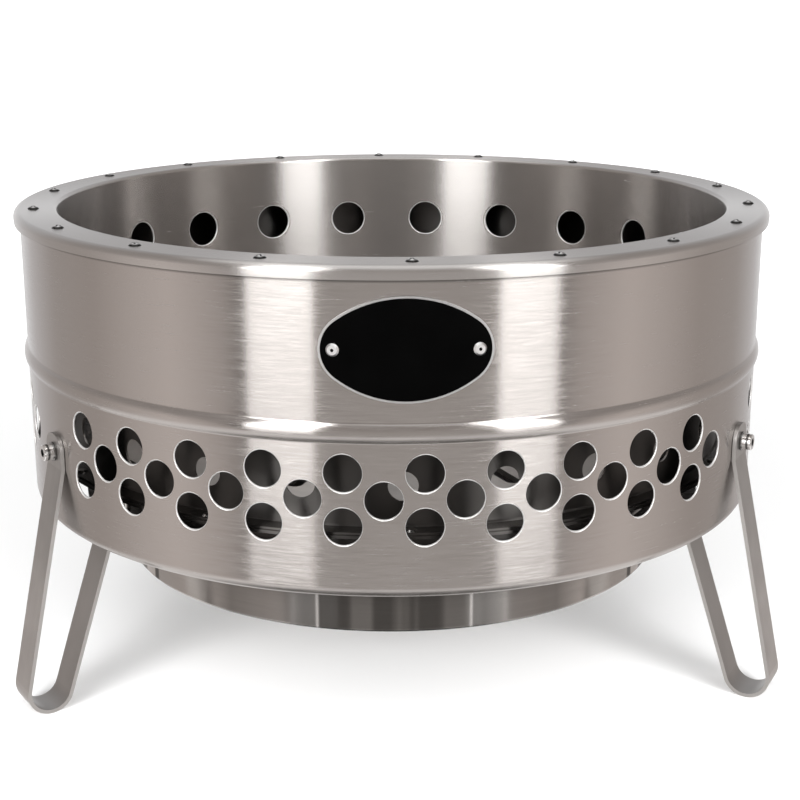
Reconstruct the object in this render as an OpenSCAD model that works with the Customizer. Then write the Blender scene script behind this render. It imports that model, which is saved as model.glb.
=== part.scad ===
// Round double-walled camp fire pit on three bent strip legs.
// The frame has +Z up, the ground at z = 0, the axis of the pit at x = y = 0 and the front towards -Y.
// Azimuths are measured from the front, positive towards +X. All sizes are in millimetres.

/* [Outer shell] */
// Outside diameter of the outer shell
shell_d = 410; // [360:1:460]
// Thickness of the body sheets
sheet = 1; // [0.8:0.1:1.2]
// Height of the shell's bottom lip above the ground
shell_clear = 97.3; // [88:0.1:108]
// Height of the rim's top above the shell's bottom lip
shell_h = 158.5; // [150:0.5:175]
// Inward reach of the bottom lip
lip_w = 7; // [5.5:0.5:9]
// Outside radius of the bottom lip's bend
lip_bend = 6; // [3:0.5:7]
// Height of the stiffening bead above the bottom lip
bead_up = 81; // [78:0.5:86]
// Height of the stiffening bead
bead_h = 10.5; // [9:0.5:14]
// How far the bead stands proud
bead_out = 2; // [1.2:0.1:2.5]
// Outside radius of the creases above and below the bead
bead_crease = 1.2; // [0.8:0.1:2]

/* [Rim] */
// Width of the air space from the shell's outside to the liner's inside
air_space = 20; // [18:0.5:26]
// Outside radius of the bend from the rim down into the liner
mouth_bend = 2; // [1.5:0.5:5]
// How far the rolled edge stands out from the shell
rim_over = 3.6; // [3:0.1:5]
// Outside radius of the rolled edge
rim_bend = 4; // [2.5:0.5:5]
// Height of the rolled edge
rim_h = 6.5; // [5.5:0.5:9]
// Gap between the shell's flange under the rim and the liner
flange_gap = 5; // [2:0.5:6]
// Distance of the rim screws' circle inside the shell
rim_screw_in = 7.5; // [6.5:0.5:9]

/* [Air holes] */
// Diameter of the air holes in the shell
air_d = 18; // [14:0.5:19]
// Groups of three holes in each third of the shell
air_count = 10; // [6:1:10]
// Angle between the groups
air_pitch = 10.6; // [10:0.1:10.8]
// Turn of each third's holes away from the middle between its legs
air_turn = -1; // [-2:0.5:2]
// Height of the middle row above the bottom lip
air_up = 48.8; // [46:0.2:52]
// Height between neighbouring rows
air_row = 12.9; // [12:0.1:14]
// Diameter of the holes near the mouth of the liner
vent_d = 21.5; // [16:0.5:24]
// Number of holes near the mouth
vent_count = 22; // [16:1:24]
// Turn of the holes near the mouth from the front
vent_turn = 6.7; // [0:0.1:16]
// Depth of the holes' centres below the rim
vent_down = 41; // [30:0.5:50]
// Diameter of the holes in the lower ring
draught_d = 14.5; // [10:0.5:16]
// Number of holes in the lower ring
draught_count = 24; // [18:1:26]
// Turn of the lower ring's holes from the front
draught_turn = -1; // [-5:0.5:5]
// Height of the lower ring's holes above the chamber floor
draught_up = 21; // [14:0.5:23]

/* [Chamber] */
// Depth from the rim to the bottom edge of the liner
liner_depth = 97; // [90:0.5:100]
// Overlap of the lower ring outside the liner
ring_overlap = 13; // [11:0.5:16]
// Height of the chamber floor's top above the bottom lip
floor_up = 29; // [26:0.5:32]
// Thickness of the chamber floor
floor_t = 1.5; // [1:0.1:2]
// Gap between the chamber floor and the shell
floor_gap = 6; // [4:0.5:9]
// Width of the lower ring's foot flange
foot_flange = 8; // [7:0.5:10]
// Outside radius of the small sheet folds
fold = 2; // [1.5:0.5:2.5]
// Distance from the liner's inside to the ash pan's outside
pan_in = 31.5; // [27:0.5:36]
// Height of the ash pan's underside above the ground
pan_clear = 57.8; // [50:0.2:68]
// Radius of the ash pan's bottom edge
pan_bend = 2; // [1.5:0.5:8]
// Width of the ash pan's hanging flange
pan_flange = 17; // [14:0.5:18]
// Gap round the ash pan where it passes the floor and the leg ring
pan_gap = 1.8; // [1.2:0.1:2.5]
// Thickness of the fire grate
grate_t = 3; // [2:0.5:4]
// Distance of the grate's edge inside the edge of the pan's flange
grate_in = 3; // [1:0.5:6]
// Width of the grate's slots
slot_w = 8; // [5:0.5:9]
// Slots in the grate's inner ring, half of those in the outer ring
slot_count = 12; // [8:1:12]
// Width of the plain metal between the grate's rings of slots
slot_land = 10; // [8:0.5:14]
// Diameter of the grate's lifting hole
grate_eye = 36; // [28:1:42]

/* [Legs] */
// Width of the leg strip
leg_w = 19.5; // [17:0.5:22]
// Thickness of the leg strip
leg_t = 2; // [1.5:0.1:3]
// Height of the leg screws above the bottom lip
screw_up = 43.5; // [41:0.5:46]
// Height of the strip's top end above the leg screw
leg_top = 9.5; // [9:0.5:13]
// Radius of the corners at the strip's ends
leg_corner = 8; // [3:0.5:8]
// Drop from the leg screw to the kink in the outer arm
kink_drop = 8; // [7:0.5:14]
// Radius of the middle of the foot's bend
foot_bend = 11.6; // [9:0.2:13]
// How far the foot's centre stands outside the shell
foot_out = 15; // [8:0.5:22]
// Drop from the bottom lip to the underside of the leg ring
ring_drop = 4; // [2:0.5:8]
// Thickness of the leg ring
ring_t = 2; // [1.5:0.1:3]
// Width of the leg ring
ring_w = 22; // [20:0.5:24]
// Distance from the ash pan's wall to the ring bolts
bolt_out = 15; // [13.5:0.5:16]
// Distance from the ring bolts to the corner of the leg's inner arm
corner_out = 12.5; // [11.5:0.5:15]
// Radius of the middle of the bends at the strip's ends
strip_bend = 5; // [4:0.5:6]

/* [Badge] */
// Width of the oval badge
badge_w = 79; // [70:1:90]
// Height of the oval badge
badge_h = 49; // [40:1:54]
// Radius of the oval's ends
badge_end = 17; // [14:0.5:19]
// Height of the badge's centre above the bottom lip
badge_up = 120; // [117:0.5:122]
// Turn of the badge from the front
badge_turn = -0.8; // [-3:0.1:3]
// Thickness of the badge plate
badge_t = 0.8; // [0.6:0.1:1.2]
// Thickness of the enamel face
enamel_t = 0.3; // [0.2:0.1:0.5]
// Width of the bare edge round the enamel
badge_edge = 1; // [0.6:0.2:2]
// Distance between the badge rivets
badge_rivets_w = 65.8; // [60:0.2:68]

/* [Fasteners] */
// Thread of the leg screws
leg_thread = 5; // [4:1:5]
// Thread of the ring bolts
ring_thread = 4; // [3:1:4]
// Thread of the rim screws
rim_thread = 3; // [2:0.5:3]
// Number of rim screws
rim_count = 18; // [12:1:24]
// Shank of the rivets
rivet_d = 3.2; // [2.4:0.1:4]
// Number of rivets in each seam of the chamber
seam_count = 12; // [8:1:16]

/* [Hidden] */
$fn = 96;

// Clearances: a thread in its hole, a sheet inside another, and a loose piece on its seat
hole_gap = 0.15;
nest_gap = 0.15;
seat_gap = 0.2;
// How far a cut runs past the solid that it goes through
past = 1;

leg_azimuths = [-60, 60, 180];
shell_r = shell_d / 2;
shell_in = shell_r - sheet;
liner_r = shell_r - air_space;
rim_z = shell_clear + shell_h;
rim_under = rim_z - sheet;
rim_r = shell_r + rim_over;
screw_circle = shell_r - rim_screw_in;
bead_z = shell_clear + bead_up;
bead_turn = 2 * atan(2 * bead_out / bead_h);
bead_r = bead_h / 2 / sin(bead_turn) - bead_crease;
air_z = shell_clear + air_up;
air_first = air_turn - (air_count - 0.5) * air_pitch / 2;
vent_z = rim_z - vent_down;

liner_z = rim_z - liner_depth;
floor_z = shell_clear + floor_up;
liner_out = liner_r + sheet;
ring_in = liner_out + nest_gap;
ring_top = liner_z + ring_overlap;
foot_in = ring_in + fold;
draught_z = floor_z + draught_up;
floor_out = shell_in - floor_gap;
pan_r = liner_r - pan_in;
pan_seat = floor_z + seat_gap;
pan_top = pan_seat + sheet;
flange_r = pan_r + pan_flange;
grate_z = pan_top + seat_gap;
grate_r = flange_r - grate_in;
floor_rivet_r = foot_in + foot_flange / 2;

screw_z = shell_clear + screw_up;
ring_z = shell_clear - ring_drop;
leg_ring_in = pan_r + pan_gap;
bolt_r = pan_r + bolt_out;
tab_z = ring_z - leg_t / 2;

badge_z = shell_clear + badge_up;
head_of = function(thread) 1.7 * thread;
nut_of = function(thread) 1.6 * thread + (thread > 3.5 ? 0 : 0.7);

// The leg's middle line in (radius, height): a plate on the shell, an outer arm, a round foot, an inner arm
// and a flat tab. Both arms are tangents from their corners to the foot's bend.
kink = [shell_r + leg_t / 2, screw_z - kink_drop];
foot = [shell_r + foot_out, foot_bend + leg_t / 2];
corner = [bolt_r + corner_out, tab_z];
arm_lean = function(from) atan2(foot.x - from.x, from.y - foot.y);
outer_lean = arm_lean(kink) + asin(foot_bend / norm(foot - kink));
inner_lean = arm_lean(corner) - asin(foot_bend / norm(foot - corner));
kink_run = strip_bend * tan(outer_lean / 2);
corner_run = strip_bend * tan((90 - inner_lean) / 2);
tab_end = bolt_r - 0.55 * leg_w;

module at_azimuth(angle) rotate([0, 0, angle]) children();

// Turns a radial axis, pointing outwards at the front, into the child's +Z
module radial(r, z) translate([0, -r, z]) rotate([90, 0, 0]) children();

module annulus(r_in, r_out, height) {
    difference() {
        cylinder(r = r_out, h = height);
        translate([0, 0, -past]) cylinder(r = r_in, h = height + 2 * past);
    }
}

module ring_of(count, turn = 0) {
    for (i = [0 : count - 1]) at_azimuth(turn + i * 360 / count) children();
}

// A sector of a bent sheet seen edge on, with the outside radius r_out and an angle of lap at both ends
module bend_2d(centre, r_out, from, to, thick, lap = 0) {
    reach = 3 * r_out;
    start = from - lap;
    step = (to - from + 2 * lap) / 4;
    translate(centre) intersection() {
        difference() {
            circle(r = r_out);
            circle(r = r_out - thick);
        }
        polygon(concat([[0, 0]], [for (i = [0 : 4]) reach * [cos(start + i * step), sin(start + i * step)]]));
    }
}

// A straight run of sheet seen edge on, centred on the line from a to b, that laps into the bends it joins
module run_2d(a, b, thick) {
    along = (b - a) / norm(b - a);
    lap = 0.05 * along;
    side = thick / 2 * [-along.y, along.x];
    polygon([a - lap + side, b + lap + side, b + lap - side, a - lap - side]);
}

module shell_profile() {
    lip_in = shell_r - lip_w;
    bend_r = shell_r - lip_bend;
    flange_in = liner_out + flange_gap;
    bead_low = bead_z - bead_h / 2;
    bead_high = bead_z + bead_h / 2;
    translate([lip_in, shell_clear]) square([bend_r - lip_in, sheet]);
    bend_2d([bend_r, shell_clear + lip_bend], lip_bend, -90, 0, sheet);
    translate([shell_in, shell_clear + lip_bend]) square([sheet, bead_low - shell_clear - lip_bend]);
    bend_2d([shell_r + bead_crease, bead_low], bead_crease + sheet, 180 - bead_turn, 180, sheet);
    bend_2d([shell_r + bead_out - bead_r, bead_z], bead_r, -bead_turn, bead_turn, sheet, lap = 0.3);
    bend_2d([shell_r + bead_crease, bead_high], bead_crease + sheet, 180, 180 + bead_turn, sheet);
    translate([shell_in, bead_high]) square([sheet, rim_under - fold - bead_high]);
    bend_2d([shell_r - fold, rim_under - fold], fold, 0, 90, sheet);
    translate([flange_in, rim_under - sheet]) square([shell_r - fold - flange_in, sheet]);
}

// Rolled and perforated outer wall, with a bottom lip, a stiffening bead and a flange for the rim
module outer_shell() {
    color("silver") difference() {
        rotate_extrude() shell_profile();
        for (third = [0 : 2], i = [0 : air_count - 1]) {
            azimuth = third * 120 + air_first + i * air_pitch;
            at_azimuth(azimuth) air_hole(air_z + air_row);
            at_azimuth(azimuth) air_hole(air_z - air_row);
            at_azimuth(azimuth + air_pitch / 2) air_hole(air_z);
        }
        for (azimuth = leg_azimuths) at_azimuth(azimuth)
            radial(shell_r - 4 * sheet, screw_z) cylinder(d = leg_thread + 2 * hole_gap, h = 8 * sheet);
        ring_of(rim_count) translate([0, -screw_circle, rim_under - 2 * sheet])
            cylinder(d = rim_thread + 2 * hole_gap, h = 4 * sheet);
        at_azimuth(badge_turn) badge_rivet_places()
            cylinder(d = rivet_d + 2 * hole_gap, h = 8 * sheet, center = true);
    }
}

module air_hole(z) {
    radial(shell_r - 10 * sheet, z) cylinder(d = air_d, h = 20 * sheet);
}

module liner_profile() {
    flat_in = liner_r + mouth_bend;
    flat_out = rim_r - rim_bend;
    translate([liner_r, liner_z]) square([sheet, liner_depth - mouth_bend]);
    bend_2d([flat_in, rim_z - mouth_bend], mouth_bend, 90, 180, sheet);
    translate([flat_in, rim_under]) square([flat_out - flat_in, sheet]);
    bend_2d([flat_out, rim_z - rim_bend], rim_bend, 0, 90, sheet);
    translate([rim_r - sheet, rim_z - rim_h]) square([sheet, rim_h - rim_bend]);
}

// Fire liner and rim in one spun piece, with the vent holes near the mouth
module fire_liner() {
    color("gainsboro") difference() {
        rotate_extrude() liner_profile();
        ring_of(vent_count, vent_turn)
            radial(liner_r - 10 * sheet, vent_z) cylinder(d = vent_d, h = 20 * sheet);
        ring_of(rim_count) translate([0, -screw_circle, rim_under - past])
            cylinder(d = rim_thread + 2 * hole_gap, h = sheet + 2 * past);
        seam_places() cylinder(d = rivet_d + 2 * hole_gap, h = 8 * sheet, center = true);
    }
}

// Low domed screws with cross recesses that hold the rim to the shell's flange
module rim_screws() {
    head_r = 1.05 * rim_thread;
    head_h = 0.5 * rim_thread;
    recess = [1.2 * rim_thread, 0.3 * rim_thread, head_h];
    dome_r = (pow(head_r, 2) + pow(head_h, 2)) / (2 * head_h);
    color("lightgray") ring_of(rim_count) translate([0, -screw_circle, rim_z]) difference() {
        union() {
            intersection() {
                translate([0, 0, head_h - dome_r]) sphere(r = dome_r);
                cylinder(r = head_r + past, h = head_h + past);
            }
            translate([0, 0, -2 * sheet - 1.4 * rim_thread])
                cylinder(d = rim_thread, h = 2 * sheet + 1.4 * rim_thread + head_h / 2);
        }
        for (turn = [45, 135]) rotate([0, 0, turn])
            translate([-recess.x / 2, -recess.y / 2, head_h / 2]) cube(recess);
    }
}

module hex_nut(thread, height) {
    difference() {
        cylinder(d = nut_of(thread) / cos(30), h = height, $fn = 6);
        translate([0, 0, -past]) cylinder(d = thread + 2 * hole_gap, h = height + 2 * past);
    }
}

module rim_nuts() {
    nut_h = 0.8 * rim_thread;
    color("darkgray") ring_of(rim_count)
        translate([0, -screw_circle, rim_under - sheet - nut_h]) hex_nut(rim_thread, nut_h);
}

module lower_ring_profile() {
    translate([ring_in, floor_z + fold]) square([sheet, ring_top - floor_z - fold]);
    bend_2d([foot_in, floor_z + fold], fold, 180, 270, sheet);
    translate([foot_in, floor_z]) square([foot_flange, sheet]);
}

// Lower wall of the chamber, round the liner's end and standing on the floor, with the draught holes
module lower_ring() {
    color("darkgray") difference() {
        rotate_extrude() lower_ring_profile();
        ring_of(draught_count, draught_turn)
            radial(ring_in - 10 * sheet, draught_z) cylinder(d = draught_d, h = 20 * sheet);
        seam_places() cylinder(d = rivet_d + 2 * hole_gap, h = 8 * sheet, center = true);
        floor_rivet_places() cylinder(d = rivet_d + 2 * hole_gap, h = 8 * sheet, center = true);
    }
}

module seam_places() {
    ring_of(seam_count, 180 / seam_count) radial(liner_out, (liner_z + ring_top) / 2) children();
}

module floor_rivet_places() ring_of(seam_count) translate([0, -floor_rivet_r, floor_z]) children();

module rivet_head() cylinder(d1 = 1.9 * rivet_d, d2 = 1.4 * rivet_d, h = 0.28 * rivet_d);

// A rivet along +Z with its flat head above z = top and its tail below z = -bottom
module rivet(top, bottom) {
    tail_h = 0.4 * rivet_d;
    translate([0, 0, top]) rivet_head();
    translate([0, 0, -bottom]) cylinder(d = rivet_d, h = top + bottom);
    translate([0, 0, -bottom - tail_h]) cylinder(d = 1.35 * rivet_d, h = tail_h);
}

// Rivets through the liner and the lower ring, flush inside so that the pan and the grate pass them
module seam_rivets() {
    color("lightgray") seam_places() {
        translate([0, 0, nest_gap + sheet]) rivet_head();
        translate([0, 0, seat_gap - sheet]) cylinder(d = rivet_d, h = 2 * sheet + nest_gap - seat_gap);
    }
}

// Flat ring that closes the chamber round the ash pan
module chamber_floor() {
    color("gray") difference() {
        translate([0, 0, floor_z - floor_t]) annulus(pan_r + pan_gap, floor_out, floor_t);
        floor_rivet_places() cylinder(d = rivet_d + 2 * hole_gap, h = 8 * floor_t, center = true);
    }
}

module floor_rivets() {
    color("lightgray") floor_rivet_places() rivet(sheet, floor_t);
}

module pan_profile() {
    fold_r = pan_r - sheet + fold;
    translate([0, pan_clear]) square([pan_r - pan_bend, sheet]);
    bend_2d([pan_r - pan_bend, pan_clear + pan_bend], pan_bend, -90, 0, sheet);
    translate([pan_r - sheet, pan_clear + pan_bend]) square([sheet, pan_top - fold - pan_clear - pan_bend]);
    bend_2d([fold_r, pan_top - fold], fold, 90, 180, sheet);
    translate([fold_r, pan_seat]) square([flange_r - fold_r, sheet]);
}

// Ash pan that hangs in the chamber floor by its flange and lifts out
module ash_pan() {
    color("dimgray") rotate_extrude() pan_profile();
}

module slot(r_from, r_to) {
    for (r = [r_from, r_to]) translate([0, -r, -past]) cylinder(d = slot_w, h = grate_t + 2 * past);
    translate([-slot_w / 2, -r_to, -past]) cube([slot_w, r_to - r_from, grate_t + 2 * past]);
}

// Loose fire grate on the ash pan's flange, with two rings of slots and a lifting hole
module fire_grate() {
    inner_from = grate_eye / 2 + slot_land + slot_w / 2;
    outer_to = pan_r - sheet - (slot_land + slot_w) / 2;
    middle = (inner_from + outer_to) / 2;
    half_gap = (slot_land + slot_w) / 2;
    color("dimgray") translate([0, 0, grate_z]) difference() {
        cylinder(r = grate_r, h = grate_t);
        translate([0, 0, -past]) cylinder(d = grate_eye, h = grate_t + 2 * past);
        ring_of(slot_count) slot(inner_from, middle - half_gap);
        ring_of(2 * slot_count, 90 / slot_count) slot(middle + half_gap, outer_to);
    }
}

// Flat ring that ties the inner ends of the legs together round the ash pan
module leg_ring() {
    color("gray") difference() {
        translate([0, 0, ring_z]) annulus(leg_ring_in, leg_ring_in + ring_w, ring_t);
        for (azimuth = leg_azimuths) at_azimuth(azimuth) translate([0, -bolt_r, ring_z - past])
            cylinder(d = ring_thread + 2 * hole_gap, h = ring_t + 2 * past);
    }
}

module leg_profile() {
    outer_along = [sin(outer_lean), -cos(outer_lean)];
    inner_along = [-sin(inner_lean), cos(inner_lean)];
    half = leg_t / 2;
    run_2d([kink.x, screw_z], kink + [0, kink_run], leg_t);
    bend_2d(kink + [strip_bend, kink_run], strip_bend + half, 180, 180 + outer_lean, leg_t);
    run_2d(kink + kink_run * outer_along, foot + foot_bend * [cos(outer_lean), sin(outer_lean)], leg_t);
    bend_2d(foot, foot_bend + half, inner_lean - 180, outer_lean, leg_t);
    run_2d(foot - foot_bend * [cos(inner_lean), sin(inner_lean)], corner - corner_run * inner_along, leg_t);
    bend_2d(corner - [corner_run, strip_bend], strip_bend + half, inner_lean, 90, leg_t);
    run_2d(corner - [corner_run, 0], [tab_end, tab_z], leg_t);
}

// The strip's top end seen from outside, above the screw, with round corners
module leg_end_2d() {
    corner_x = leg_w / 2 - leg_corner;
    corner_y = leg_top - leg_corner;
    translate([-leg_w / 2, 0]) square([leg_w, corner_y]);
    translate([-corner_x, 0]) square([2 * corner_x, leg_top]);
    for (side = [-1, 1]) translate([side * corner_x, corner_y]) circle(r = leg_corner);
}

// One strip leg at the front
module leg() {
    color("silver") difference() {
        union() {
            rotate([0, 0, -90]) rotate([90, 0, 0]) linear_extrude(leg_w, center = true) leg_profile();
            radial(shell_r, screw_z) linear_extrude(leg_t) leg_end_2d();
        }
        radial(shell_r - past, screw_z) cylinder(d = leg_thread + 2 * hole_gap, h = leg_t + 2 * past);
        translate([0, -bolt_r, tab_z - leg_t / 2 - past])
            cylinder(d = ring_thread + 2 * hole_gap, h = leg_t + 2 * past);
    }
}

module leg_left() at_azimuth(leg_azimuths[0]) leg();

module leg_right() at_azimuth(leg_azimuths[1]) leg();

module leg_rear() at_azimuth(leg_azimuths[2]) leg();

module at_legs() for (azimuth = leg_azimuths) at_azimuth(azimuth) children();

washer_t = 0.2 * leg_thread;
leg_nut_h = 0.8 * leg_thread;

// Socket head cap screws through the legs and the shell
module leg_screws() {
    head_r = head_of(leg_thread) / 2;
    edge = 0.08 * leg_thread;
    seat = shell_r + leg_t + washer_t;
    length = leg_t + washer_t + sheet + nest_gap + leg_nut_h + 2;
    color("lightgray") at_legs() radial(seat, screw_z) difference() {
        union() {
            cylinder(r = head_r, h = leg_thread - edge);
            translate([0, 0, leg_thread - edge]) cylinder(r1 = head_r, r2 = head_r - edge, h = edge);
            translate([0, 0, -length]) cylinder(d = leg_thread, h = length + past);
        }
        translate([0, 0, leg_thread / 2]) cylinder(d = 0.92 * leg_thread, h = leg_thread, $fn = 6);
    }
}

module leg_washers() {
    color("lightgray") at_legs() radial(shell_r + leg_t, screw_z)
        annulus(leg_thread / 2 + hole_gap, leg_thread, washer_t);
}

// Nuts on the inside of the shell
module leg_nuts() {
    color("darkgray") at_legs()
        radial(shell_in - nest_gap - leg_nut_h, screw_z) hex_nut(leg_thread, leg_nut_h);
}

ring_nut_h = 0.8 * ring_thread;

// Hexagon bolts up through the leg tabs and the leg ring
module ring_bolts() {
    head_h = 0.7 * ring_thread;
    length = leg_t + ring_t + ring_nut_h + 2 * ring_thread;
    color("lightgray") at_legs() translate([0, -bolt_r, ring_z - leg_t]) {
        translate([0, 0, -head_h]) cylinder(d = nut_of(ring_thread) / cos(30), h = head_h, $fn = 6);
        cylinder(d = ring_thread, h = length);
    }
}

module ring_nuts() {
    color("darkgray") at_legs() translate([0, -bolt_r, ring_z + ring_t]) hex_nut(ring_thread, ring_nut_h);
}

// Oval of four arcs: round ends, and long sides whose radius follows from the width and height
module oval(width, height, end) {
    a = width / 2;
    b = height / 2;
    side = (a * a + b * b - 2 * a * end) / (2 * (b - end));
    join = (a - end) * side / (side - end);
    for (x = [-1, 1]) translate([x * (a - end), 0]) circle(r = end);
    intersection() {
        translate([0, b - side]) circle(r = side);
        translate([0, side - b]) circle(r = side);
        square([2 * join, height + past], center = true);
    }
}

// An oval plate bent to the shell, from radius r_in to r_out
module badge_layer(inset, r_in, r_out) {
    difference() {
        intersection() {
            translate([0, 0, badge_z - badge_h]) annulus(r_in, r_out, 2 * badge_h);
            translate([0, 0, badge_z]) rotate([90, 0, 0]) linear_extrude(r_out + past)
                oval(badge_w - 2 * inset, badge_h - 2 * inset, badge_end - inset);
        }
        badge_rivet_places() cylinder(d = rivet_d + 2 * hole_gap, h = 8 * sheet, center = true);
    }
}

module badge_rivet_places() {
    turn = badge_rivets_w / 2 / shell_r * 180 / PI;
    for (side = [-1, 1]) at_azimuth(side * turn) radial(shell_r, badge_z) children();
}

module badge_plate() {
    color("silver") at_azimuth(badge_turn) badge_layer(0, shell_r + nest_gap, shell_r + nest_gap + badge_t);
}

module badge_enamel() {
    base = shell_r + nest_gap + badge_t;
    color([0.03, 0.03, 0.03]) at_azimuth(badge_turn) badge_layer(badge_edge, base, base + enamel_t);
}

// Blind rivets that hold the badge, open at the mandrel
module badge_rivets() {
    top = nest_gap + badge_t + enamel_t + nest_gap;
    color("lightgray") at_azimuth(badge_turn) badge_rivet_places() difference() {
        rivet(top, sheet + nest_gap);
        cylinder(d = 0.45 * rivet_d, h = top + rivet_d);
    }
}

outer_shell();
fire_liner();
rim_screws();
rim_nuts();
lower_ring();
seam_rivets();
chamber_floor();
floor_rivets();
ash_pan();
fire_grate();
leg_ring();
leg_left();
leg_right();
leg_rear();
leg_screws();
leg_washers();
leg_nuts();
ring_bolts();
ring_nuts();
badge_plate();
badge_enamel();
badge_rivets();
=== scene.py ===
"""Looks of a round double-walled camp fire pit of brushed stainless steel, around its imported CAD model."""

import math

import bmesh
import bpy
from mathutils import Matrix, Vector


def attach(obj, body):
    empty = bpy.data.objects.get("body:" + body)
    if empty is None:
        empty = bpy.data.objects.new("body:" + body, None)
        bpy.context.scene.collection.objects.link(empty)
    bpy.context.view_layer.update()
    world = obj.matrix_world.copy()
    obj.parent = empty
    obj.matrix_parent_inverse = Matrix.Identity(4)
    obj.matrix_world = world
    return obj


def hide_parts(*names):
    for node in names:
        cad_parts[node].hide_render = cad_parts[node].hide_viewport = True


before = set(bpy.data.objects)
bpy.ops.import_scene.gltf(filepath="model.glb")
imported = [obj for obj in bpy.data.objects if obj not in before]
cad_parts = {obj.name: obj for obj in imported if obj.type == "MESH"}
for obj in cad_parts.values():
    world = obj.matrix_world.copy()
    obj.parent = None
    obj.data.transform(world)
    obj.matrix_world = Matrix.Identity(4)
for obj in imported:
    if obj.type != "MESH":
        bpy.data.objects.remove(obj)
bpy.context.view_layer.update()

# Outer shell: one rolled stainless sheet with a turned-in bottom lip, a stiffening bead and three rows of
# drilled air holes. It is brushed round and round, so its streaks run level and highlights stand upright.
# Its inside keeps the dull skin of the mill, and is painted dark as the shade within the shell.
sheet = 0.001
shell_r = 0.205
lip_z = 0.0973
lip_in_r = 0.198
lip_bend = 0.006
rim_z = 0.2558
flange_z = rim_z - sheet
flange_in_r = 0.191
fold = 0.002
bead_z = 0.1783
bead_half = 0.00525
bead_out = 0.002
crease = 0.0012
bead_turn = 2.0 * math.atan(bead_out / bead_half)
crest_r = bead_half / math.sin(bead_turn) - crease
crease_run = crease * math.tan(bead_turn / 2.0)
flank_h = bead_half - crease_run
shell_line = [
    (lip_in_r, lip_z, 0.0),
    (shell_r, lip_z, lip_bend),
    (shell_r, bead_z - flank_h, crease_run),
    (shell_r + flank_h * math.tan(bead_turn), bead_z, crest_r * math.tan(bead_turn)),
    (shell_r, bead_z + flank_h, crease_run),
    (shell_r, flange_z, fold),
    (flange_in_r, flange_z, 0.0),
]


def add_piece(name, sketch):
    """Turns a finished sketch into an object."""
    mesh = bpy.data.meshes.new(name)
    sketch.to_mesh(mesh)
    sketch.free()
    piece = bpy.data.objects.new(name, mesh)
    bpy.context.scene.collection.objects.link(piece)
    return piece


def draw_line(sketch, points):
    """Draws edges from point to point, each given by its radius and height, and returns the corners."""
    corners = [sketch.verts.new((0.0, -radius, height)) for radius, height in points]
    for near, far in zip(corners, corners[1:]):
        sketch.edges.new((near, far))
    return corners


def round_corner(sketch, corner, run, segments):
    """Rounds one corner of a line, starting this far along both of its sides."""
    bmesh.ops.bevel(
        sketch,
        geom=[corner],
        offset=run,
        offset_type="OFFSET",
        affect="VERTICES",
        segments=segments,
        profile=0.5,
        material=-1,
    )


def spin_round(sketch, steps):
    """Spins a line of edges once round the upright axis into faces that point outwards."""
    bmesh.ops.spin(
        sketch,
        geom=sketch.verts[:] + sketch.edges[:],
        cent=(0.0, 0.0, 0.0),
        axis=(0.0, 0.0, 1.0),
        angle=2.0 * math.pi,
        steps=steps,
        use_merge=True,
    )
    bmesh.ops.remove_doubles(sketch, verts=sketch.verts[:], dist=1e-6)
    bmesh.ops.recalc_face_normals(sketch, faces=sketch.faces[:])


def spun_sheet(name, line):
    """A sheet bent at the corners of a line and spun round the upright axis. Each corner has its radius, its
    height and the run of its bend along both sides. The line is the outer face, and the thickness lies
    behind it."""
    sketch = bmesh.new()
    corners = draw_line(sketch, [(radius, height) for radius, height, run in line])
    for corner, (radius, height, run) in zip(corners, line):
        if run:
            round_corner(sketch, corner, run, 10)
    spin_round(sketch, 360)
    bmesh.ops.solidify(sketch, geom=sketch.faces[:], thickness=sheet)
    return add_piece(name, sketch)


def around(azimuth, radius, height):
    """The place at this azimuth from the front, with its Z axis level and outwards."""
    turned = Matrix.Rotation(math.radians(azimuth), 4, "Z")
    moved = turned @ Matrix.Translation((0.0, -radius, height))
    return moved @ Matrix.Rotation(math.radians(90.0), 4, "X")


def punch_holes(piece, hole_r, burr, places):
    """Cuts round holes through a sheet. Each place is on the face where the burr is rounded off, with its
    Z axis away from the sheet."""
    depth = 0.012
    lift = 0.00005
    mouth_r = hole_r + 2.5 * burr
    punch = bmesh.new()
    corners = draw_line(
        punch,
        [(0.0, -depth), (hole_r, -depth), (hole_r, lift), (mouth_r, lift), (mouth_r, depth), (0.0, depth)],
    )
    round_corner(punch, corners[2], burr, 3)
    spin_round(punch, 48)
    pattern = punch.verts[:] + punch.edges[:] + punch.faces[:]
    pattern_points = punch.verts[:]
    for place in places:
        copy = bmesh.ops.duplicate(punch, geom=pattern)["geom"]
        points = [part for part in copy if isinstance(part, bmesh.types.BMVert)]
        bmesh.ops.transform(punch, matrix=place, verts=points)
    bmesh.ops.delete(punch, geom=pattern_points, context="VERTS")
    cutter = add_piece("punch", punch)
    cut = piece.modifiers.new("holes", "BOOLEAN")
    cut.operation = "DIFFERENCE"
    cut.solver = "MANIFOLD"
    cut.object = cutter
    seen = piece.evaluated_get(bpy.context.evaluated_depsgraph_get())
    piece.data = bpy.data.meshes.new_from_object(seen)
    piece.modifiers.clear()
    bpy.data.objects.remove(cutter)


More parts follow.
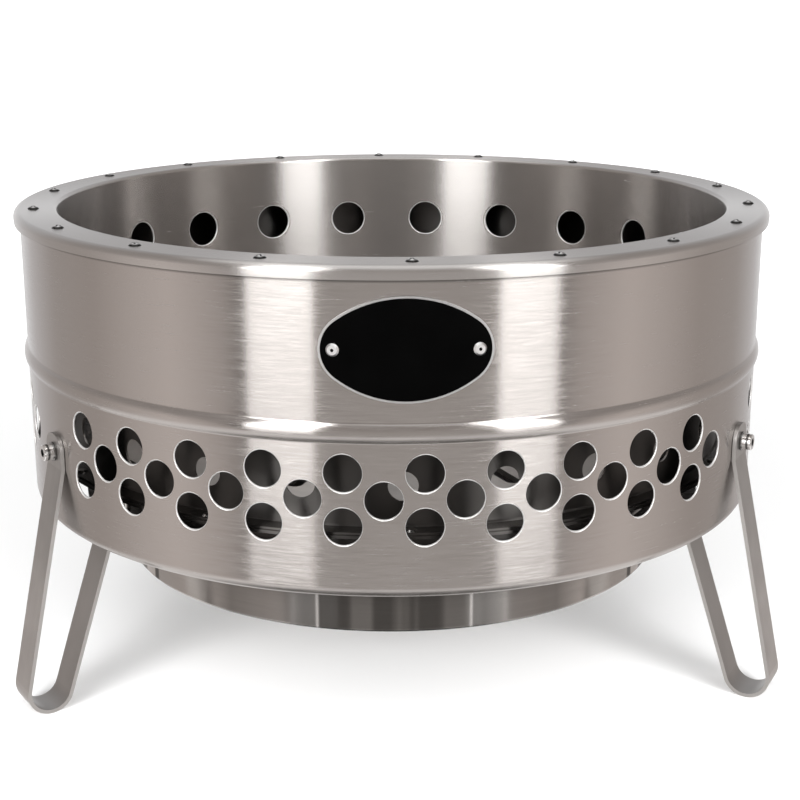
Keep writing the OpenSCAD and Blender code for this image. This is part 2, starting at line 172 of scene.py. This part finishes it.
def smooth_sheet(piece):
    """Smooth shading, with exact normals on the walls and flats, so that bends run out smoothly and holes
    leave no facets round them."""
    mesh = piece.data
    mesh.shade_smooth()
    mesh.set_sharp_from_angle(angle=math.radians(40.0))
    upwards = Vector((0.0, 0.0, 1.0))
    sides = {}
    for face in mesh.polygons:
        for corner in face.vertices:
            outwards = (mesh.vertices[corner].co * Vector((1.0, 1.0, 0.0))).normalized()
            for side in (outwards, upwards):
                if abs(face.normal.dot(side)) > 0.999:
                    sides[corner] = side
    normals = [Vector()] * len(mesh.loops)
    for face in mesh.polygons:
        for corner, vertex in zip(face.loop_indices, face.vertices):
            if vertex in sides:
                facing = face.normal.dot(sides[vertex])
                if abs(facing) > 0.94:
                    normals[corner] = sides[vertex] * math.copysign(1.0, facing)
    mesh.normals_split_custom_set(normals)


shell = spun_sheet("shell_sheet", shell_line)
air_r = 0.009
air_burr = 0.0009
air_z = lip_z + 0.0488
air_row = 0.0129
air_pitch = 10.6
air_columns = 10
air_turn = -1.0
air_first = air_turn - (air_columns - 0.5) * air_pitch / 2.0
air_places = []
for third in range(3):
    for column in range(air_columns):
        azimuth = third * 120.0 + air_first + column * air_pitch
        air_places.append(around(azimuth, shell_r, air_z + air_row))
        air_places.append(around(azimuth, shell_r, air_z - air_row))
        air_places.append(around(azimuth + air_pitch / 2.0, shell_r, air_z))
punch_holes(shell, air_r, air_burr, air_places)
smooth_sheet(shell)


class Field:
    """A socket of one node tree. Sums, products and comparisons of fields add Math nodes to the tree."""

    def __init__(self, tree, socket=None):
        self.tree = tree
        self.socket = socket

    def make(self, kind, settings=None, links=None, output=0):
        """Adds a node, applies its settings first and then its sockets, and returns one output."""
        made = self.tree.nodes.new(kind)
        for name, value in (settings or {}).items():
            if name == "stops":
                stops = made.color_ramp.elements
                stops[0].position, stops[0].color = value[0]
                stops[1].position, stops[1].color = value[-1]
                for position, colour in value[1:-1]:
                    stops.new(position).color = colour
            else:
                setattr(made, name, value)
        for name, value in (links or {}).items():
            if isinstance(value, Field):
                self.tree.links.new(value.socket, made.inputs[name])
            else:
                made.inputs[name].default_value = value
        return Field(self.tree, made.outputs[output]) if made.outputs else None

    def math(self, operation, first, second=0.0):
        return self.make("ShaderNodeMath", {"operation": operation}, {0: first, 1: second})

    def __add__(self, other):
        return self.math("ADD", self, other)

    def __radd__(self, other):
        return self.math("ADD", other, self)

    def __sub__(self, other):
        return self.math("SUBTRACT", self, other)

    def __rsub__(self, other):
        return self.math("SUBTRACT", other, self)

    def __mul__(self, other):
        return self.math("MULTIPLY", self, other)

    def __rmul__(self, other):
        return self.math("MULTIPLY", other, self)

    def __gt__(self, other):
        return self.math("GREATER_THAN", self, other)

    def __lt__(self, other):
        return self.math("LESS_THAN", self, other)

    def vector(self, operation, first, second=(0.0, 0.0, 0.0), output="Vector"):
        return self.make("ShaderNodeVectorMath", {"operation": operation}, {0: first, 1: second}, output)

    def ease(self, low, high):
        """Runs smoothly from 0 to 1 while this field goes from low to high."""
        return self.make(
            "ShaderNodeMapRange",
            {"interpolation_type": "SMOOTHSTEP"},
            {"Value": self, "From Min": low, "From Max": high},
        )

    def blend(self, first, second):
        """A colour between two others, where this field is the share of the second."""
        a, b = [colour if isinstance(colour, Field) else (*colour, 1.0) for colour in (first, second)]
        return self.make("ShaderNodeMix", {"data_type": "RGBA"}, {"Factor": self, "A": a, "B": b}, "Result")


def new_finish(name):
    """An empty material, ready for fields."""
    finish = bpy.data.materials.new(name)
    finish.use_nodes = True
    finish.node_tree.nodes.clear()
    return finish, Field(finish.node_tree)


def surface(start, values):
    """Ends a material with one Principled shader."""
    shader = start.make("ShaderNodeBsdfPrincipled", None, values)
    start.make("ShaderNodeOutputMaterial", None, {"Surface": shader})


def round_axes(start):
    """Distance from the object's upright axis, height, and the level direction away from the axis."""
    place = start.make("ShaderNodeTexCoord", None, None, "Object")
    level = start.vector("MULTIPLY", place, (1.0, 1.0, 0.0))
    radius = start.vector("LENGTH", level, output="Value")
    height = start.make("ShaderNodeSeparateXYZ", None, {"Vector": place}, "Z")
    return radius, height, start.vector("NORMALIZE", level)


def face_normal(start):
    """The direction that the surface faces, and how far that is upwards."""
    normal = start.make("ShaderNodeNewGeometry", None, None, "Normal")
    return normal, start.make("ShaderNodeSeparateXYZ", None, {"Vector": normal}, "Z")


def streaks(start, across, along, turn=0.0, upright=False):
    """Brush streaks: noise drawn out along the brushing. The lengths are those of one streak in metres."""
    place = start.make("ShaderNodeTexCoord", None, None, "Object")
    stretch = (across, along, along) if upright else (along, along, across)
    drawn = start.make(
        "ShaderNodeMapping",
        {"vector_type": "TEXTURE"},
        {"Vector": place, "Rotation": (0.0, 0.0, turn), "Scale": stretch},
    )
    return start.make(
        "ShaderNodeTexNoise", None, {"Vector": drawn, "Scale": 1.0, "Detail": 4.0, "Roughness": 0.65}, "Fac"
    )


def clouds(start, size, detail=2.0):
    """Soft uneven patches of about this size in metres."""
    place = start.make("ShaderNodeTexCoord", None, None, "Object")
    return start.make(
        "ShaderNodeTexNoise", None, {"Vector": place, "Scale": 1.0 / size, "Detail": detail}, "Fac"
    )


def relief(start, height, strength, depth=0.0001):
    """A normal that follows small heights on the surface."""
    return start.make(
        "ShaderNodeBump", None, {"Strength": strength, "Distance": depth, "Height": height}, "Normal"
    )


def brush_marks(start, across, along):
    """The grain of streaks round the axis, and the tone that the grain and some wear give the steel."""
    coarse = streaks(start, across, along)
    fine = streaks(start, across * 0.4, along * 0.4)
    grain = (coarse * 0.55 + fine * 0.45 - 0.5) * 2.2 + 0.5
    return grain, grain * 0.75 + clouds(start, 0.09) * 0.25


def painted_shade(start, colour, low, high, share):
    """Darkens a colour with painted shade that deepens from the first height to the second."""
    radius, height, outwards = round_axes(start)
    return (height.ease(low, high) * share).blend(colour, (0.03, 0.029, 0.028))


def mill_skin_and_shade(start, colour, roughness, out, up, edge_r):
    """Dulls the unbrushed side of a sheet within a radius: rougher, and painted dark as shade. out and up
    weigh how far that side faces outwards and upwards."""
    radius, height, outwards = round_axes(start)
    normal, lifted = face_normal(start)
    facing = start.vector("DOT_PRODUCT", normal, outwards, "Value")
    # Painted shade: the dull side gets a dark colour as well as more roughness.
    dull = ((facing * out + lifted * up) > 0.3) * (radius < edge_r)
    return dull.blend(colour, (0.14, 0.133, 0.127)), roughness + dull * 0.2


def brushed_surface(start, colour, roughness, grain, groove, anisotropy=1.0):
    """Ends the material of steel that is brushed round the axis."""
    surface(
        start,
        {
            "Base Color": colour,
            "Metallic": 1.0,
            "Roughness": roughness,
            "Anisotropic": anisotropy,
            "Anisotropic Rotation": 0.25,
            "Normal": relief(start, grain, groove),
        },
    )


def speckled_metal(name, size, detail, dark, light, rough, spread, metallic=1.0):
    """Bare metal with small marks of about this size in metres."""
    finish, start = new_finish(name)
    marks = clouds(start, size, detail)
    surface(
        start,
        {
            "Base Color": marks.blend(dark, light),
            "Metallic": metallic,
            "Roughness": rough + marks * spread,
        },
    )
    return finish


def stands_for(piece, node, body, finish):
    """Puts a modelled piece in a CAD node's place."""
    piece.data.materials.clear()
    piece.data.materials.append(finish)
    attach(piece, body)
    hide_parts(node)


def bare_edges(piece, finish, low, high):
    """Puts a finish on the rounded edges of the holes between two heights."""
    piece.data.materials.append(finish)
    for face in piece.data.polygons:
        outwards = (face.center * Vector((1.0, 1.0, 0.0))).normalized()
        if low < face.center.z < high and 0.1 < abs(face.normal.dot(outwards)) < 0.985:
            face.material_index = 1


skirt_z = rim_z - 0.0065
shell_finish, start = new_finish("brushed_shell")
grain, tone = brush_marks(start, across=0.0009, along=0.02)
colour = tone.blend((0.53, 0.50, 0.48), (0.60, 0.57, 0.55))
# Painted shade: a thin dark line just under the rim's skirt, as the shade the skirt throws on the shell.
colour = painted_shade(start, colour, skirt_z - 0.0022, skirt_z - 0.0008, share=0.6)
roughness = 0.20 + (tone - 0.5) * 0.31
colour, roughness = mill_skin_and_shade(start, colour, roughness, out=-1.0, up=0.7, edge_r=0.21)
brushed_surface(start, colour, roughness, grain, groove=0.05)
stands_for(shell, "outer_shell", "chassis", shell_finish)
edge_finish = speckled_metal(
    "ground_edges", 0.003, 3.0, (0.60, 0.59, 0.58), (0.76, 0.75, 0.74), rough=0.36, spread=0.14, metallic=0.75
)
bare_edges(shell, edge_finish, lip_z + lip_bend, bead_z - bead_half)

# Fire liner and rim: one spun stainless sheet with a row of vents near the mouth, finer in its brushing than
# the shell. The rim is screwed to the shell's flange. The liner's outside is dull from the mill and painted
# dark as shade. The lower ring that laps round the liner's end and the chamber floor below it are of the same
# sheet, dull from the mill and painted darker as the shade inside the chamber.
rim_r = 0.2086
rim_bend = 0.004
skirt_lean = 0.0005
liner_r = 0.185
liner_end_z = 0.1588
mouth_bend = 0.002
liner_line = [
    (liner_r, liner_end_z, 0.0),
    (liner_r, rim_z, mouth_bend),
    (rim_r, rim_z, rim_bend),
    (rim_r - skirt_lean, skirt_z, 0.0),
]
liner = spun_sheet("liner_sheet", liner_line)
vent_r = 0.01075
vent_burr = 0.0006
vent_z = rim_z - 0.041
vent_count = 22
vent_turn = 6.7
vent_places = []
for vent in range(vent_count):
    outside = around(vent_turn + vent * 360.0 / vent_count, liner_r, vent_z)
    vent_places.append(outside @ Matrix.Rotation(math.pi, 4, "X"))
punch_holes(liner, vent_r, vent_burr, vent_places)
smooth_sheet(liner)


def dull_shade_backed_sheet(name, dark, light, spread, groove, across, along):
    """Sheet of the inner wall, brushed on its inside and dull from the mill on its outside, where it is
    painted dark as shade.
    """
    finish, start = new_finish(name)
    grain, tone = brush_marks(start, across, along)
    colour = tone.blend(dark, light)
    roughness = 0.26 + (tone - 0.5) * spread
    colour, roughness = mill_skin_and_shade(start, colour, roughness, out=1.0, up=0.0, edge_r=0.2)
    brushed_surface(start, colour, roughness, grain, groove)
    return finish


def dress(finish, *names):
    """Puts a material on CAD nodes."""
    for name in names:
        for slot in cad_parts[name].material_slots:
            slot.material = finish


liner_finish = dull_shade_backed_sheet(
    "satin_liner", (0.57, 0.545, 0.53), (0.63, 0.61, 0.59), 0.05, 0.03, across=0.0008, along=0.03
)
stands_for(liner, "fire_liner", "chassis", liner_finish)
bare_edges(liner, edge_finish, vent_z - 0.02, vent_z + 0.02)
# Painted shade: the chamber's sheets are coloured dark as the shade inside the chamber.
shaded_chamber_finish = dull_shade_backed_sheet(
    "chamber_sheet_painted_shade", (0.17, 0.16, 0.15), (0.28, 0.265, 0.255), 0.08, 0.04, across=0.0012, along=0.05
)
dress(shaded_chamber_finish, "lower_ring", "chamber_floor")

# Fasteners: turned and pressed stainless screws, nuts, washers and rivets with small handling marks.
# The rim screws are painted bright on their crowns as a highlight and dark below them as shade. The cap
# screws and washers that hold the legs have narrow dark rings painted along their axis as the shade in their
# crevices.
bright_finish = speckled_metal(
    "bright_fasteners", 0.0025, 4.0, (0.58, 0.57, 0.55), (0.78, 0.77, 0.75), rough=0.06, spread=0.1
)
dress(bright_finish, "rim_nuts", "seam_rivets", "floor_rivets", "leg_nuts", "ring_bolts", "ring_nuts")
rim_screw_finish, start = new_finish("screws_painted_crown_light")
marks = clouds(start, 0.0015, 3.0)
normal, lifted = face_normal(start)
# Painted highlight and shade: the face that turns upwards is bright, the sides below the crown are dark.
lit_crown = lifted.ease(0.76, 0.97) * (0.8 + marks * 0.4)
surface(
    start,
    {
        "Base Color": lit_crown.blend((0.03, 0.029, 0.028), (0.95, 0.94, 0.93)),
        "Metallic": 1.0,
        "Roughness": 0.12 + marks * 0.1,
    },
)
dress(rim_screw_finish, "rim_screws")
cap_screw_finish, start = new_finish("turned_screws_ring_shade")
marks = clouds(start, 0.0015, 3.0)
radius, height, outwards = round_axes(start)
radians_per_metre = 1900.0
# Painted shade: narrow dark rings along the screw's axis, as the shade in the crevices between head, washer
# and leg.
painted_ring_shade = start.math("SINE", radius * radians_per_metre).ease(-0.9, 0.1)
surface(
    start,
    {
        "Base Color": painted_ring_shade.blend((0.14, 0.137, 0.133), (0.90, 0.89, 0.88)),
        "Metallic": 1.0,
        "Roughness": 0.08 + marks * 0.1,
    },
)
dress(cap_screw_finish, "leg_screws", "leg_washers")


# Legs and the ring that ties them: stainless flat strip, bent cold into a narrow U, with brushing along the
# strip and sheared edges. Each leg is screwed to the shell outside and bolted to the ring inside.
def strip_steel(name, azimuth):
    """Satin strip whose streaks run lengthwise, for a leg at this azimuth. Its colour is darker towards the
    top of the leg, and faces that turn upwards are painted darker as shade.
    """
    finish, start = new_finish(name)
    turn = math.radians(azimuth)
    coarse = streaks(start, 0.0011, 0.05, turn, upright=True)
    fine = streaks(start, 0.0004, 0.03, turn, upright=True)
    patches = clouds(start, 0.035, 3.0)
    grain = (coarse * 0.6 + fine * 0.4 - 0.5) * 2.4 + 0.5
    tone = grain * 0.5 + patches.ease(0.3, 0.7) * 0.5
    radius, height, outwards = round_axes(start)
    normal, lifted = face_normal(start)
    facing = start.vector("DOT_PRODUCT", normal, (math.cos(turn), math.sin(turn), 0.0), "Value")
    sheared = start.math("ABSOLUTE", facing).ease(0.6, 0.9)
    upper = tone.blend((0.36, 0.343, 0.33), (0.53, 0.512, 0.496))
    lower = tone.blend((0.54, 0.514, 0.498), (0.78, 0.755, 0.735))
    # Darker towards the top of the leg.
    colour = height.ease(0.045, 0.115).blend(lower, upper)
    # Painted shade: faces that turn upwards are darkened.
    colour = (lifted.ease(0.15, 0.35) * 0.63).blend(colour, (0.28, 0.267, 0.257))
    surface(
        start,
        {
            "Base Color": sheared.blend(colour, (0.58, 0.565, 0.55)),
            "Metallic": 1.0,
            "Roughness": 0.28 + grain * 0.14 + sheared * 0.08,
            "Normal": relief(start, grain, 0.06),
        },
    )
    return finish


dress(strip_steel("leg_steel_left", -60.0), "leg_left")
dress(strip_steel("leg_steel_right", 60.0), "leg_right")
dress(strip_steel("leg_steel_rear", 180.0), "leg_rear")
# The leg ring takes the chamber's sheet, painted dark as shade.
dress(shaded_chamber_finish, "leg_ring")

# Badge: an oval plate of bare aluminium with a gloss black enamel face, curved to the shell. Two blind rivets
# hold it, and the broken end of the mandrel leaves a hollow in each, painted as a dark spot of shade.
plate_finish = speckled_metal(
    "badge_metal", 0.004, 3.0, (0.50, 0.50, 0.50), (0.64, 0.64, 0.64), rough=0.42, spread=0.15
)
dress(plate_finish, "badge_plate")
badge_z = lip_z + 0.120
rivet_azimuths = (-9.995, 8.395)
mandrel_r = 0.00075
rivet_finish, start = new_finish("badge_rivet_metal")
marks = clouds(start, 0.0015, 3.0)
place = start.make("ShaderNodeTexCoord", None, None, "Object")
hollow_spots = []
for azimuth in rivet_azimuths:
    spot = around(azimuth, shell_r, badge_z)
    axis = spot.to_3x3() @ Vector((0.0, 0.0, 1.0))
    aside = start.vector("CROSS_PRODUCT", start.vector("SUBTRACT", place, spot.translation), axis)
    hollow_spots.append(start.vector("LENGTH", aside, output="Value") < mandrel_r)
# Painted shade: a dark spot in each rivet's hollow.
hollow_shade = hollow_spots[0] + hollow_spots[1]
bare_rivet = marks.blend((0.82, 0.82, 0.82), (0.95, 0.95, 0.95))
surface(
    start,
    {
        "Base Color": hollow_shade.blend(bare_rivet, (0.02, 0.02, 0.02)),
        "Metallic": 1.0,
        "Roughness": 0.30 + marks * 0.1 + hollow_shade * 0.3,
    },
)
dress(rivet_finish, "badge_rivets")
enamel_finish, start = new_finish("badge_black")
peel = clouds(start, 0.0022)
patches = clouds(start, 0.02)
surface(
    start,
    {
        "Base Color": patches.blend((0.0004, 0.0004, 0.0004), (0.001, 0.001, 0.001)),
        "Roughness": 0.30 + patches * 0.12,
        "Specular IOR Level": 0.01,
        "Normal": relief(start, peel, 0.03, depth=0.0002),
    },
)
dress(enamel_finish, "badge_enamel")

# Ash pan: a round pan, drawn from one stainless sheet and polished outside. It hangs by its flange on the
# chamber floor and lifts out. Its wall is painted dark as shade, with painted reflections: upright light and
# dark bands, and two bright lines at the front.
pan_in_r = 0.1525
pan_floor_z = 0.0588
pan_floor_bend = 0.001
pan_top_z = 0.1275
pan_flange_r = 0.1705
pan_line = [
    (0.0, pan_floor_z, 0.0),
    (pan_in_r, pan_floor_z, pan_floor_bend),
    (pan_in_r, pan_top_z, fold),
    (pan_flange_r, pan_top_z, 0.0),
]
pan = spun_sheet("pan_sheet", pan_line)
smooth_sheet(pan)
# Painted light: the dark base stands for the shade under the shell. The lit tone, the bright lines and the
# bands by azimuth are painted reflections.
pan_shade_colour = (0.10, 0.095, 0.09)
pan_lit_colour = (0.38, 0.365, 0.35)
pan_glint_colour = (0.62, 0.60, 0.585)
pan_front = (-0.039, -0.999, 0.0)
pan_reflection_bands = (
    (0.455, 0.25),
    (0.465, 0.80),
    (0.525, 0.80),
    (0.532, 0.12),
    (0.550, 0.12),
    (0.558, 0.60),
    (0.740, 0.66),
    (0.790, 0.42),
    (0.835, 0.23),
    (0.865, 0.26),
    (0.900, 0.35),
    (0.928, 0.48),
    (0.955, 0.25),
)
reflection_stops = [(facing, (tone, 0.96 * tone, 0.925 * tone, 1.0)) for facing, tone in pan_reflection_bands]
pan_finish, start = new_finish("polished_pan")
radius, height, outwards = round_axes(start)
grain, tone = brush_marks(start, across=0.0012, along=0.05)
# Painted reflection: upright light and dark streaks by azimuth on the front middle of the wall.
marks = start.make("ShaderNodeTexNoise", None, {"Vector": outwards, "Scale": 9.0, "Detail": 2.0}, "Fac")
tone = tone * 0.2 + marks.ease(0.44, 0.56) * 0.48
front = start.vector("DOT_PRODUCT", outwards, pan_front, "Value")
ahead = front.ease(0.9645, 0.9695)
painted_reflections = start.make("ShaderNodeValToRGB", {"stops": reflection_stops}, {"Fac": front}, "Color")
colour = ahead.blend((grain * 0.2).blend(painted_reflections, pan_shade_colour), tone.blend(pan_shade_colour, pan_lit_colour))
# Painted highlight: two bright upright lines at the edges of the front middle.
colour = (ahead * (1.0 - ahead) * 4.0).blend(colour, pan_glint_colour)
# Painted shade: the wall darkens towards the top, as the shade under the shell's lip.
colour = painted_shade(start, colour, 0.068, 0.094, share=0.75)
roughness = 0.17 + (tone - 0.5) * 0.05
colour, roughness = mill_skin_and_shade(start, colour, roughness, out=-1.0, up=0.9, edge_r=0.2)
brushed_surface(start, colour, roughness, grain, groove=0.03)
stands_for(pan, "ash_pan", "pan", pan_finish)

# Fire grate: a thicker plate of plain hot-rolled stainless with cut slots. It lies loose on the pan's flange
# and carries the wood.
grate_finish, start = new_finish("grate_steel")
grain, tone = brush_marks(start, across=0.003, along=0.02)
colour = tone.blend((0.33, 0.31, 0.295), (0.50, 0.48, 0.46))
roughness = 0.42 + (tone - 0.5) * 0.15
brushed_surface(start, colour, roughness, grain, groove=0.05, anisotropy=0.2)
dress(grate_finish, "fire_grate")

# Studio: a wide pale floor that runs out into a white sweep, with soft boxes to the left and right of the
# camera. The steel mirrors a warm grey room that is darker in places, and the tall boxes give it the two
# bright bands.
floor_sketch = bmesh.new()
bmesh.ops.create_grid(floor_sketch, x_segments=1, y_segments=1, size=6.0)
floor = add_piece("floor", floor_sketch)
floor_finish, start = new_finish("pale_floor")
reach, height, outwards = round_axes(start)
surface(
    start,
    {
        "Base Color": (0.92, 0.92, 0.92, 1.0),
        "Emission Color": reach.ease(0.5, 1.3).blend((0.0, 0.0, 0.0), (0.6, 0.6, 0.6)),
        "Emission Strength": 1.0,
        "Roughness": 0.9,
        "Specular IOR Level": 0.0,
    },
)
floor.visible_glossy = False
floor.visible_shadow = False
floor.data.materials.append(floor_finish)

world = bpy.data.worlds.new("studio")
bpy.context.scene.world = world
world.use_nodes = True
world.node_tree.nodes.clear()
start = Field(world.node_tree)
towards = start.make("ShaderNodeTexCoord", None, None, "Generated")
behind = start.make("ShaderNodeSeparateXYZ", None, {"Vector": towards}, "Y")
above = start.make("ShaderNodeSeparateXYZ", None, {"Vector": towards}, "Z")
room_stops = [
    (0.0, (0.48, 0.45, 0.43, 1.0)),
    (0.14, (0.34, 0.318, 0.305, 1.0)),
    (0.168, (0.20, 0.187, 0.18, 1.0)),
    (0.20, (0.44, 0.40, 0.38, 1.0)),
    (0.24, (0.55, 0.50, 0.475, 1.0)),
    (0.34, (0.72, 0.655, 0.62, 1.0)),
    (0.45, (0.62, 0.565, 0.535, 1.0)),
    (0.60, (0.46, 0.415, 0.39, 1.0)),
    (0.78, (0.46, 0.425, 0.405, 1.0)),
    (0.90, (0.62, 0.60, 0.60, 1.0)),
    (0.97, (0.85, 0.85, 0.86, 1.0)),
]
level = start.make("ShaderNodeValToRGB", {"stops": room_stops}, {"Fac": behind * 0.5 + 0.5}, "Color")
higher = behind.ease(0.3, 0.95).blend((0.36, 0.33, 0.315), (0.57, 0.57, 0.58))
room = above.ease(0.0, 0.3).blend(level, higher)
room = above.ease(0.78, 0.92).blend(room, (1.1, 1.1, 1.1))
room = above.ease(-0.5, -0.65).blend(room, (0.95, 0.93, 0.92))
room = above.ease(-0.8, -0.95).blend(room, (0.12, 0.115, 0.11))
shaded = start.make("ShaderNodeLightPath", None, None, "Is Diffuse Ray")
glossy = start.make("ShaderNodeLightPath", None, None, "Is Glossy Ray")
soft = shaded.blend((1.25, 1.25, 1.25), (0.72, 0.72, 0.72))
glow = start.make("ShaderNodeBackground", None, {"Color": glossy.blend(soft, room), "Strength": 1.0})
start.make("ShaderNodeOutputWorld", None, {"Surface": glow})


def soft_box(name, place, width, height, power, mirrored=True):
    """A soft light that stands upright and faces the object's axis."""
    lamp = bpy.data.lights.new(name, "AREA")
    lamp.shape = "RECTANGLE"
    lamp.size = width
    lamp.size_y = height
    lamp.energy = power
    box = bpy.data.objects.new(name, lamp)
    box.location = place
    box.rotation_euler = (math.radians(90.0), 0.0, math.atan2(-place[0], place[1]) + math.pi)
    box.visible_glossy = mirrored
    bpy.context.scene.collection.objects.link(box)


soft_box("right_box_low", (0.88, -1.26, -0.045), width=0.46, height=0.79, power=1.25)
soft_box("left_box_low", (-0.91, -1.39, -0.045), width=0.55, height=0.79, power=1.5)
soft_box("right_box", (0.88, -1.26, 1.375), width=0.46, height=2.05, power=16.0)
soft_box("left_box", (-0.91, -1.39, 1.375), width=0.55, height=2.05, power=19.0)
soft_box("right_key", (1.2, -1.9, 0.8), width=1.5, height=0.8, power=48.0, mirrored=False)
soft_box("left_key", (-1.2, -1.9, 0.8), width=1.5, height=0.8, power=48.0, mirrored=False)

# Camera: in front and a little to the left, looking down at about 16 degrees through a fairly long lens. It
# is fitted to the photograph's rim, bead, bottom edge and rows of holes.
lens = bpy.data.cameras.new("camera")
lens.sensor_width = 36.0
lens.lens = 69.34
camera = bpy.data.objects.new("camera", lens)
camera.location = (-0.0392, -0.8683, 0.3816)
camera.rotation_euler = (math.radians(74.25), 0.0, math.radians(-2.89))
bpy.context.scene.collection.objects.link(camera)
bpy.context.scene.camera = camera
bpy.context.scene.view_settings.view_transform = "Standard"
